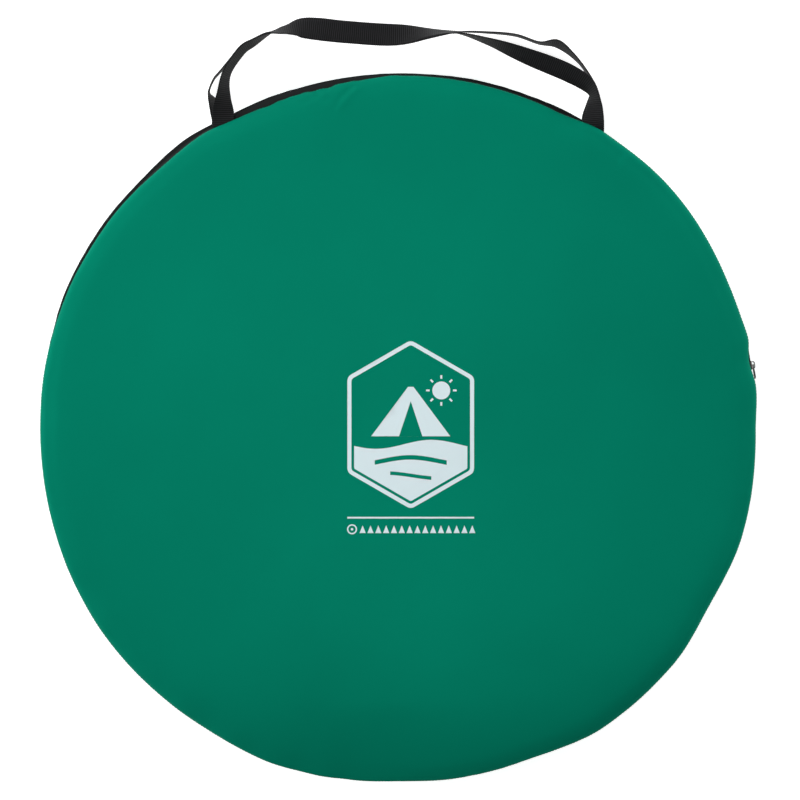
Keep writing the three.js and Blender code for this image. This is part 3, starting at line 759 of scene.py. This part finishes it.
def zip_teeth(name, side):
    """Coil teeth along the chain; side is 1 for the front coil and -1 for the back one."""
    start, end = ZIP_START + 0.9, ZIP_FINISH - 0.9
    count = int((end - start) * DEGREE * CHAIN / TEETH_PITCH)
    angle = (start + (np.arange(count) + (0.5 if side > 0 else 0)) * (end - start) / count) * DEGREE
    outwards = outwards_at(angle)
    centres = outwards * (CHAIN + 0.1)
    centres[:, 2] = CHAIN_Z + side * 1.35
    lean = outwards_at(angle + math.pi / 2) * 0.28 * side + np.array([0, 0, 1.0])
    return beads(name, centres, lean, outwards, TOOTH, coil_plastic)


def outwards_at(angle):
    return np.stack([np.cos(angle), np.sin(angle), 0 * angle], -1)


def rim_stitches(name, radius, z, start, end, spacing=STITCH_PITCH, size=(2.6, 0.45, 0.35)):
    count = int((end - start) * DEGREE * RIM / spacing)
    angle = np.linspace(start, end, count) * DEGREE
    centres = on_rim(radius, z, angle)
    along = on_rim(radius, z, angle + 0.001) - centres
    return beads(name, centres, along, outwards_at(angle), size, black_thread)


def add_zip():
    over_coil = CHAIN - 1.3  # the tape behind the teeth
    rows = [(CHAIN + 0.5, 8.9), (CHAIN + 0.7, 8), (CHAIN + 0.7, 6), (CHAIN + 0.5, 4.2),
            (CHAIN - 0.3, 3.4), (over_coil, 2.6), (over_coil, 0.7)]
    sides = (("front", 1, fold_with_flap, ("end_right", "end_left")), ("back", -1, ride_bag, ()))
    for name, side, dress, ends in sides:
        profile = [(radius, CHAIN_Z + side * away) for radius, away in rows]
        tape = wall_strip(f"zip_tape_{name}_cloth", profile, ZIP_START, ZIP_FINISH, 0.5, tape_cloth)
        dress(tape, *[f"zip_tape_{part}" for part in (name, *ends)], slot="black_polyester")
    for name, side, dress, ends in sides:
        teeth = zip_teeth(f"zip_teeth_{name}", side)
        dress(teeth, *[f"zip_coil_{part}" for part in (name, *ends)], slot="zip_coil")
    for name, side, dress, _ in sides:
        row = rim_stitches(f"zip_stitches_{name}", CHAIN + 0.7, CHAIN_Z + side * 4.3,
                           ZIP_START + 1, ZIP_FINISH - 1, 2.6, (1.9, 0.35, 0.3))
        dress(row, slot="black_polyester")


def add_gusset():
    start, end = ZIP_FINISH + 0.15, 360 + ZIP_START - 0.15
    rows = [(CHAIN + 0.3, z) for z in np.linspace(FRONT_SEAM - 0.2, BACK_SEAM + 0.2, 13)]
    wall = wall_strip("lower_gusset_cloth", rows, start, end, 0.6, black_cloth, ripple=0.3)
    ride_bag(wall, "lower_gusset", slot="black_polyester")
    for name, z in (("upper", 31.6), ("under", 18.4)):
        row = rim_stitches(f"gusset_stitches_{name}", CHAIN + 0.45, z, start + 1, end - 1)
        ride_bag(row, slot="black_polyester")


def add_binding():
    low, high = 12, 17.2
    turn = np.linspace(-90, 90, 9) * DEGREE
    rows = [(RIM + 0.5 + max(math.cos(a), 0) ** 0.5, (low + high) / 2 + (high - low) / 2 * math.sin(a))
            for a in turn]
    ring = wall_strip("back_seam_binding_cloth", rows, 0, 360, 0.5, black_cloth, wrap=True, ripple=0.12)
    ride_bag(ring, "back_seam_binding", slot="black_polyester")
    row = rim_stitches("back_binding_stitches", RIM + 1.5, 14.2, 0, 359.6)
    ride_bag(row, slot="black_polyester")


def dress_hardware():
    """The slider, pull and stops keep their CAD shapes, with a fine bevel and real metal."""
    for node in ("zip_slider", "zip_pull", "zip_stop_right", "zip_stop_left"):
        piece = frame["nodes"][node]
        for material_slot in piece.material_slots:
            material_slot.material = nickel
        soften_edges(piece, 0.3, 3, from_angle=40)


# ---------------------------------------------------------------- carry handles
def add_handle(node, route):
    """A strap along its route, standing in for the CAD handle, which is hidden."""
    path = curve_through(route, 0.5)
    places, lean = path[:, :3], path[:, 3:] * DEGREE
    run = runs_of(places)
    beside, up = across_and_up(run)
    wide = beside * np.cos(lean) + up * np.sin(lean)
    section = webbing_section(HANDLE_WIDTH, 1.7)
    strap = loft(f"{node}_webbing", places, wide, np.cross(run, wide), section, strap_cloth,
                 stretch=ribs(places))
    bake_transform(strap)
    stand_for([node])


def add_handles():
    add_handle("front_handle", FRONT_HANDLE)
    add_handle("back_handle", BACK_HANDLE)


# ---------------------------------------------------------------- the folded tent inside
ROD_TURNS = 3
TURN_OFFSET = 8
ROD_LOOPS = {"a": (374, 1.35), "b": (349, 1.75)}


def coiled_rod(radius, start, from_share=0.0, to_share=1.0, step=7):
    """Places along a rod coiled in three turns that circle one another."""
    whole = ROD_TURNS * FULL_TURN
    count = round(whole * radius * (to_share - from_share) / step)
    closed = to_share - from_share == 1
    turn = start + whole * np.linspace(from_share, to_share, count, endpoint=not closed)
    ring = radius + TURN_OFFSET * np.cos(turn / ROD_TURNS)
    z = CHAIN_Z + TURN_OFFSET * np.sin(turn / ROD_TURNS)
    return np.stack([ring * np.cos(turn), ring * np.sin(turn), z], -1)


def add_rods():
    bare = 0.011  # share of the rod left bare on each side of the joint
    for name, (radius, start) in ROD_LOOPS.items():
        rod = tube(f"rod_{name}", coiled_rod(radius, start), 3, fibreglass, closed=True)
        ride_bag(rod, f"rod_loop_{name}", slot="fibreglass")
        places = coiled_rod(radius, start, bare, 1 - bare, 3.2)
        random = np.random.default_rng(ord(name))
        wander = np.convolve(random.normal(0, 1, len(places) + 8), np.ones(9) / 9, "valid")
        gather = 1 + 0.05 * np.sin(np.arange(len(places)) * 1.3 + 4 * wander) + 0.08 * wander
        sleeve = tube(f"rod_sleeve_{name}", places, 3.75, black_cloth, sides=12, stretch=gather)
        ride_bag(sleeve, slot="black_polyester")
        low = coiled_rod(radius, start, 0, 0.004, 3)
        joint = np.vstack([2 * low[0] - low[:0:-1], low])
        swage = 1 + 0.1 * np.exp(-((np.linspace(-1, 1, len(joint)) / 0.97) ** 40) * 3)
        ferrule = tube(f"rod_ferrule_{name}_steel", joint, 4.3, zinc, sides=20, stretch=swage)
        ride_bag(ferrule, f"rod_ferrule_{name}", slot="silver_metal")


CREASES = [(12, 95), (75, 190), (100, -40), (140, 205), (168, 30)]  # pressed folds: (degrees, offset)


def pack_piece(name, node, leaves, material, seed, rumple, columns=180, circles=20):
    """A folded layer of the tent: leaves of cloth over each other, their folds showing round the edge."""
    low, high = node_box(node)
    bottom, top, radius = low[2], high[2], high[0]
    angle = np.arange(columns) / columns * FULL_TURN
    leaf = (top - bottom) / leaves
    random = np.random.default_rng(seed)

    # the underside runs in to the middle and out again to the lowest leaf
    rings = [((radius - 12) * share + 0 * angle, bottom + 0.1 + 0 * angle) for share in (0.9, 0.5, 0)]
    for number in range(leaves):
        lobes = 0
        for count in (2, 3, 5, 9, 14):
            size, phase = random.uniform(0.3, 1), random.uniform(0, FULL_TURN)
            lobes = lobes + size * np.sin(count * angle + phase)
        ripple = 0.25 * np.sin(60 * angle + number) * np.sin(7 * angle + number)
        rim = radius - 6 - 1.7 * lobes - 1.5 * number % 3 + ripple - leaf / 2
        for turn in (-80, -50, -20, 20, 50, 80):
            z = 0 * angle + bottom + leaf * (number + 0.5) + leaf / 2 * math.sin(turn * DEGREE)
            rings.append((rim + leaf / 2 * math.cos(turn * DEGREE), z))
    for share in np.linspace(1, 0, circles)[1:]:
        r = rim * share
        x, y = r * np.cos(angle), r * np.sin(angle)
        folds = abs(waves(x, y, seed + 1, 4, 90, 220)) * 1.7 + abs(waves(x, y, seed + 2, 6, 24, 60)) * 0.5
        step = 1.3 * smooth(-3, 3, x * 0.5 + y * 0.87 - 60) + 1.1 * smooth(-3, 3, -x * 0.8 + y * 0.6 - 150)
        for way, offset in CREASES:
            across = x * math.cos(way * DEGREE) + y * math.sin(way * DEGREE) - offset
            across = across + 2 * np.sin(x / 40 + y / 55)
            step = step + 1.2 * hump(across, 0, 5) - 0.5 * hump(across, 9, 5)
        dip = rumple * np.clip(folds + step, 0, 5) * min(1, 6 * (1 - share)) + 0.1
        rings.append((r, top - dip))
    points = np.vstack([np.stack([r * np.cos(angle), r * np.sin(angle), z], -1) for r, z in rings])
    faces = grid_faces(len(rings), columns, True)
    piece = new_piece(name, points, faces, material, points[:, :2], 60, weld=True)
    ride_bag(piece, node, slot=SLOT_OF[node])


SLOT_OF = {part["node"]: part["material_slot"] for part in frame["record"]["subparts"]}


def add_packs():
    pack_piece("groundsheet_folded", "groundsheet_pack", 3, ground_cloth, 60, 0.2)
    pack_piece("inner_tent_folded", "inner_tent_pack", 4, grey_cloth, 61, 0.2)
    pack_piece("door_mesh_folded", "door_mesh_pack", 2, mesh_cloth, 62, 0.2)
    pack_piece("flysheet_folded", "flysheet_pack", 5, fly_green, 63, 1.0, 560, 120)


STRAP_AT = 62


def across_rods(points):
    """Places drawn as (outwards, up, clockwise) at the retaining strap's angle."""
    out = np.array([math.cos(STRAP_AT * DEGREE), math.sin(STRAP_AT * DEGREE), 0])
    up = np.array([0, 0, 1.0])
    return np.asarray(points) @ np.stack([out, up, np.cross(out, up)])


def rounded_loop(low, high, corner):
    """A rounded rectangle from its low to its high corner, anticlockwise."""
    (left, under), (right, over) = low + corner, high - corner
    turns = [(right, under, -90), (right, over, 0), (left, over, 90), (left, under, 180)]
    return np.vstack([arc(x, y, corner, start, start + 90, 7) for x, y, start in turns])


def buckle_plate(name, outline, low, high, bevel, *nodes):
    """A moulded plate of the buckle: an outline with height from low to high, its edges softened."""
    outline = np.asarray(outline, float)
    count = len(outline)
    flat = [(x, z, y) for z in (low, high) for x, y in outline]
    faces = [tuple(range(count)), tuple(range(2 * count - 1, count - 1, -1))]
    faces += [(i, (i + 1) % count, (i + 1) % count + count, i + count) for i in range(count)]
    piece = new_piece(name, across_rods(flat), faces, buckle_plastic, sharp=35)
    soften_edges(piece, bevel, 2)
    ride_bag(piece, *nodes, slot="black_plastic")


def mirrored(half):
    """A closed outline from its half on the positive side, mirrored across the first axis."""
    return half + [(x, -y) for x, y in reversed(half)]


def add_strap():
    low, high = np.array([331, 10.5]), np.array([389, 38.3])
    loop = rounded_loop(low + 0.6, high - 0.6, 5)
    spaced = np.vstack([np.linspace(a, b, max(2, int(np.linalg.norm(b - a) / 2.5)), endpoint=False)
                        for a, b in zip(loop, np.roll(loop, -1, 0))])
    places = across_rods(np.column_stack([spaced, 0 * spaced[:, 0]]))
    run = runs_of(places, True)
    wide = np.tile(across_rods([[0, 0, 1]]), (len(places), 1))
    strap = loft("retaining_strap_webbing", places, wide, np.cross(run, wide), webbing_section(25, 1.1),
                 strap_cloth, closed=True)
    ride_bag(strap, "retaining_strap", slot="black_webbing")
    socket = mirrored([(346.4, 12.5), (349, 16), (353, 16), (354.5, 12), (359.5, 11.4), (361, 15),
                       (364, 15.4), (366, 13)])
    buckle_plate("buckle_socket_shell", socket, 38.7, 44.0, 0.9, "buckle_socket")
    plug = mirrored([(326, 13), (328, 14), (342, 14), (346, 12)])
    buckle_plate("buckle_plug_base", plug, 39.2, 43.6, 0.9, "buckle_plug")
    prong = [(354.8, 11), (359.2, 11), (359.0, 14.6), (357, 15.6), (355.2, 14.4)]
    for name, side in (("left", 1), ("right", -1)):
        outline = [(x, y * side) for x, y in prong][::side]
        buckle_plate(f"buckle_prong_{name}", outline, 39.6, 43, 0.4)
    for number, x in enumerate((330.5, 335.5), 1):
        bar = [(x, -12), (x + 2.4, -12), (x + 2.4, 12), (x, 12)]
        buckle_plate(f"buckle_ladder_bar_{number}", bar, 43.4, 44.6, 0.4)


PEG_PITCH = 6.6


def add_peg_bag():
    """A soft pouch, closed at its left end and open at the right, with a hem round its mouth."""
    low, high = node_box("peg_bag")
    middle = (low + high) / 2
    half_wide, half_tall = (high[1] - low[1]) / 2, (high[2] - low[2]) / 2
    sides, columns = 64, 90
    angle = np.arange(sides) / sides * FULL_TURN
    c, s = np.cos(angle), np.sin(angle)

    def sleeve(inset):
        rows = []
        for share in np.linspace(0, 1, columns):
            x = low[0] + (high[0] - low[0]) * share + inset * (1 - share) * 1.5
            end = smooth(-0.01, 0.09, share) ** 0.5
            slack = 1 + 0.03 * np.sin(share * 31 + 3 * np.sin(angle)) * np.sin(share * math.pi)
            wide = (half_wide - inset) * (0.9 + 0.1 * end) * np.sign(c) * abs(c) ** 0.75
            tall = (half_tall - inset) * (0.25 + 0.75 * end) * np.sign(s) * abs(s) ** 0.8 * slack
            tall = np.clip(tall, -half_tall + inset, half_tall - inset + 0.6)
            over_pegs = smooth(0.03, 0.12, share) * smooth(0.92, 0.84, share) * smooth(0, 0.6, s)
            tall = tall + 0.45 * over_pegs * np.cos(wide / PEG_PITCH * FULL_TURN + math.pi)
            rows.append(np.stack([x + 0 * angle, middle[1] + wide, middle[2] + tall], -1))
        return np.array(rows)

    outer, inner = sleeve(0), sleeve(0.6)
    count = columns * sides
    faces = grid_faces(columns, sides, True) + grid_faces(columns, sides, True, count)
    mouth, inner_mouth = (columns - 1) * sides, count + (columns - 1) * sides
    faces += [(mouth + i, mouth + (i + 1) % sides, inner_mouth + (i + 1) % sides, inner_mouth + i)
              for i in range(sides)]
    faces += [tuple(range(sides)), tuple(range(count, count + sides))]
    points = np.concatenate([outer.reshape(-1, 3), inner.reshape(-1, 3)])
    pouch = new_piece("peg_bag_pouch", points, faces, black_cloth, points[:, :2])
    ride_bag(pouch, "peg_bag", slot="black_polyester")
    hem = outer[int(columns * 0.94)]
    along, outwards = np.roll(hem, -1, 0) - hem, hem - hem.mean(0)
    seam = beads("peg_bag_hem_stitches", hem, along, outwards, (2.2, 0.5, 0.4), black_thread)
    ride_bag(seam, slot="black_polyester")


def add_pegs():
    for number in range(8):
        node = f"peg_{number + 1}"
        low, high = node_box(node)
        radius, y = 1.8, (low[1] + high[1]) / 2
        z = low[2] + radius
        hook = 7
        shank = [(low[0], y, z), ((low[0] + high[0]) / 2, y, z), (high[0] - hook - 3, y, z)]
        bent = [(high[0] - 4, y, z + 0.4), (high[0] - 0.6, y, high[2] - radius * 0.8)]
        places = curve_through(shank + bent, 3)
        point = np.minimum(1, 0.25 + np.linspace(0, 1, len(places)) * 14)
        peg = tube(f"{node}_wire", places, radius, zinc, sides=16, stretch=point)
        ride_bag(peg, node, slot="silver_metal")


# ---------------------------------------------------------------- floor, light and camera
def area_light(name, place, size, power):
    light = bpy.data.lights.new(name, "AREA")
    light.shape = "RECTANGLE"
    light.size, light.size_y = size
    light.energy = power
    lamp = bpy.data.objects.new(name, light)
    lamp.location = place
    lamp.visible_camera = False
    aim = Vector((0, 0, 0.02)) - Vector(place)
    lamp.rotation_euler = aim.to_track_quat("-Z", "Y").to_euler()
    bpy.context.collection.objects.link(lamp)


def add_world():
    """A white room: bright round the horizon, where the floor ends, and dim overhead."""
    world = bpy.data.worlds.new("studio")
    world.use_nodes = True
    tree = world.node_tree
    sky = tree.nodes["Background"]
    sky.inputs["Color"].default_value = (1, 1, 1, 1)
    place = tree.nodes.new("ShaderNodeTexCoord")
    split = tree.nodes.new("ShaderNodeSeparateXYZ")
    fade = tree.nodes.new("ShaderNodeMapRange")
    for socket, value in (("From Min", 0.15), ("From Max", 0.24), ("To Min", 1.0), ("To Max", 0.15)):
        fade.inputs[socket].default_value = value
    tree.links.new(place.outputs["Generated"], split.inputs["Vector"])
    tree.links.new(split.outputs["Z"], fade.inputs["Value"])
    tree.links.new(fade.outputs["Result"], sky.inputs["Strength"])
    bpy.context.scene.world = world


def add_stage():
    mesh = bpy.data.meshes.new("floor")
    reach, level = 12, -0.0015  # in metres, just under the cloth
    corners = [(x * reach, y * reach, level) for x, y in ((-1, -1), (1, -1), (1, 1), (-1, 1))]
    mesh.from_pydata(corners, [], [(0, 1, 2, 3)])
    floor = bpy.data.objects.new("floor", mesh)
    bpy.context.collection.objects.link(floor)
    material, _, surface = new_material("white_paper", (0.8, 0.8, 0.8), 0.9, 0.0)
    surface.inputs["Emission Color"].default_value = (1, 1, 1, 1)
    surface.inputs["Emission Strength"].default_value = 0.85
    mesh.materials.append(material)
    add_world()
    area_light("key_top_left", (-1.8, 3.2, 1.9), (1.6, 1.6), 92)
    area_light("overhead", (-0.05, 0.1, 0.85), (0.35, 0.35), 2.8)
    area_light("left_side", (-2.1, -0.2, 0.72), (1.6, 0.9), 21)
    area_light("right_side", (2.1, 1.0, 0.42), (1.4, 0.7), 22)
    bpy.context.scene.view_settings.view_transform = "Standard"


def add_camera():
    lens = bpy.data.cameras.new("camera")
    lens.lens = 100
    lens.sensor_width = 36
    camera = bpy.data.objects.new("camera", lens)
    camera.location = (0.00045, 0.03336, 2.5238)
    bpy.context.collection.objects.link(camera)
    bpy.context.scene.camera = camera


add_panels()
add_print()
add_zip()
add_gusset()
add_binding()
dress_hardware()
add_handles()
add_rods()
add_packs()
add_strap()
add_peg_bag()
add_pegs()
add_stage()
add_camera()
